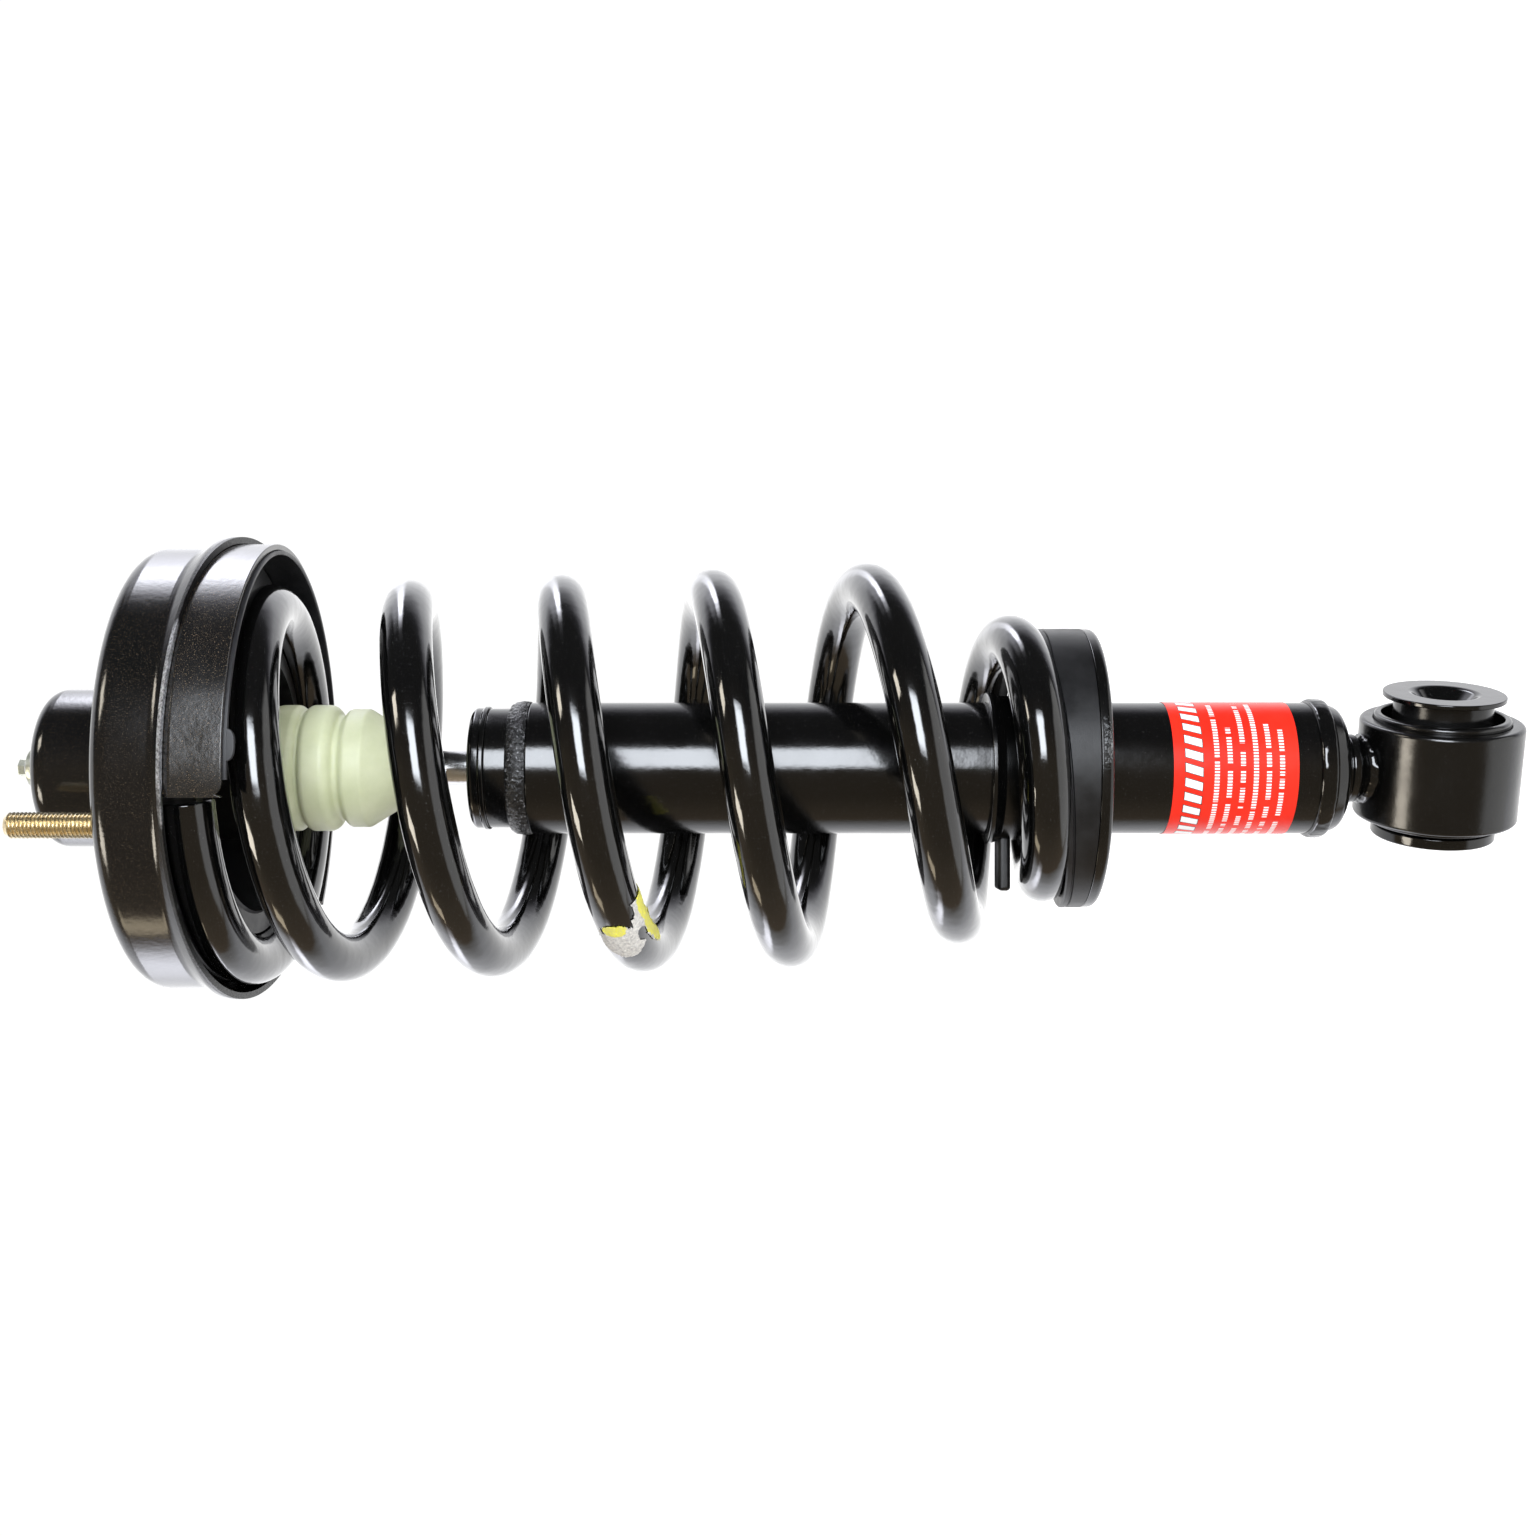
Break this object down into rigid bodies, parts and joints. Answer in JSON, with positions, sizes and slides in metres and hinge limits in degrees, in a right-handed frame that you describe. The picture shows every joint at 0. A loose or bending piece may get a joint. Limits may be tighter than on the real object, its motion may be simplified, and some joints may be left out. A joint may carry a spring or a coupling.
{
  "type": "strut assembly",
  "caption": "Coil-over strut with a stud-mounted top plate, coil spring on a sliding damper, bump stop, spring seats and a rubber-bushed lower eye.",
  "frame": {"origin": "centre of the stud circle on the body side of the upper mount pan, where the strut axis crosses the mounting face", "axes": "+Z along the damper axis toward the vehicle body, +Y along the lower eye's bore toward its flanged end, +X completes the right-handed frame"},
  "size_m": [0.1855, 0.1858, 0.6058],
  "materials": {
    "black_paint": "satin black paint",
    "spring_paint": "gloss black coating",
    "yellow_zinc": "yellow zinc plate",
    "bright_zinc": "bright zinc plate",
    "plain_steel": "machined steel",
    "chrome": "ground hard chrome",
    "bronze": "bronze-lined steel",
    "rubber": "satin black rubber",
    "seal_plastic": "filled low-friction plastic",
    "ivory_foam": "cellular ivory urethane, satin",
    "label_film": "printed red and white film"
  },
  "bodies": {
    "upper_mount": {"mount_pan": "black_paint", "mount_studs": "yellow_zinc", "mount_can": "black_paint", "mount_rubber": "rubber", "mount_sleeve": "plain_steel", "upper_washer": "black_paint", "lower_washer": "plain_steel", "rod_nut": "bright_zinc", "spring_skirt": "black_paint", "skirt_lining": "rubber", "upper_isolator": "rubber", "bump_stop_cup": "black_paint", "bump_stop": "ivory_foam", "coil_spring": "spring_paint", "piston_rod": "chrome", "piston": "plain_steel", "piston_band": "seal_plastic", "check_plate_stop": "plain_steel", "rebound_shims": "plain_steel", "piston_nut": "plain_steel", "rebound_stop": "plain_steel", "rebound_bumper": "rubber"},
    "strut_body": {"top_cap": "black_paint", "rod_seal": "rubber", "rod_guide": "plain_steel", "guide_bush": "bronze", "reserve_tube": "black_paint", "sleeve_tube": "black_paint", "pressure_tube": "plain_steel", "base_valve": "plain_steel", "base_valve_bolt": "plain_steel", "base_cap": "black_paint", "upper_weld": "black_paint", "lower_weld": "black_paint", "seat_collar": "black_paint", "seat_dish": "black_paint", "lower_isolator": "rubber", "product_label": "label_film", "eye_neck": "black_paint", "neck_weld": "black_paint", "eye_ring": "black_paint", "bush_shell": "black_paint", "bush_rubber": "rubber"},
    "bush_core": {"bush_sleeve": "black_paint", "bush_end_washer": "black_paint"},
    "piston_valve": {"piston_check_plate": "plain_steel"},
    "base_valve_plate": {"base_check_plate": "plain_steel"}
  },
  "joints": [
    {"name": "damper_stroke", "type": "slide", "parent": "upper_mount", "child": "strut_body", "axis": [0, 0, 1], "range_m": [0, 0.066], "stiffness_N_per_m": 113000, "springref_m": -0.004, "deforming": ["coil_spring", "bump_stop"]},
    {"name": "bush_twist", "type": "hinge", "parent": "strut_body", "child": "bush_core", "pos_m": [0, 0, -0.5172], "axis": [0, 1, 0], "range_deg": [-20, 20], "stiffness_Nm_per_rad": 60},
    {"name": "piston_check_lift", "type": "slide", "parent": "upper_mount", "child": "piston_valve", "axis": [0, 0, 1], "range_m": [0, 0.0012], "stiffness_N_per_m": 400, "springref_m": -0.002},
    {"name": "base_check_lift", "type": "slide", "parent": "strut_body", "child": "base_valve_plate", "axis": [0, 0, 1], "range_m": [0, 0.0012], "stiffness_N_per_m": 400, "springref_m": -0.002}
  ]
}
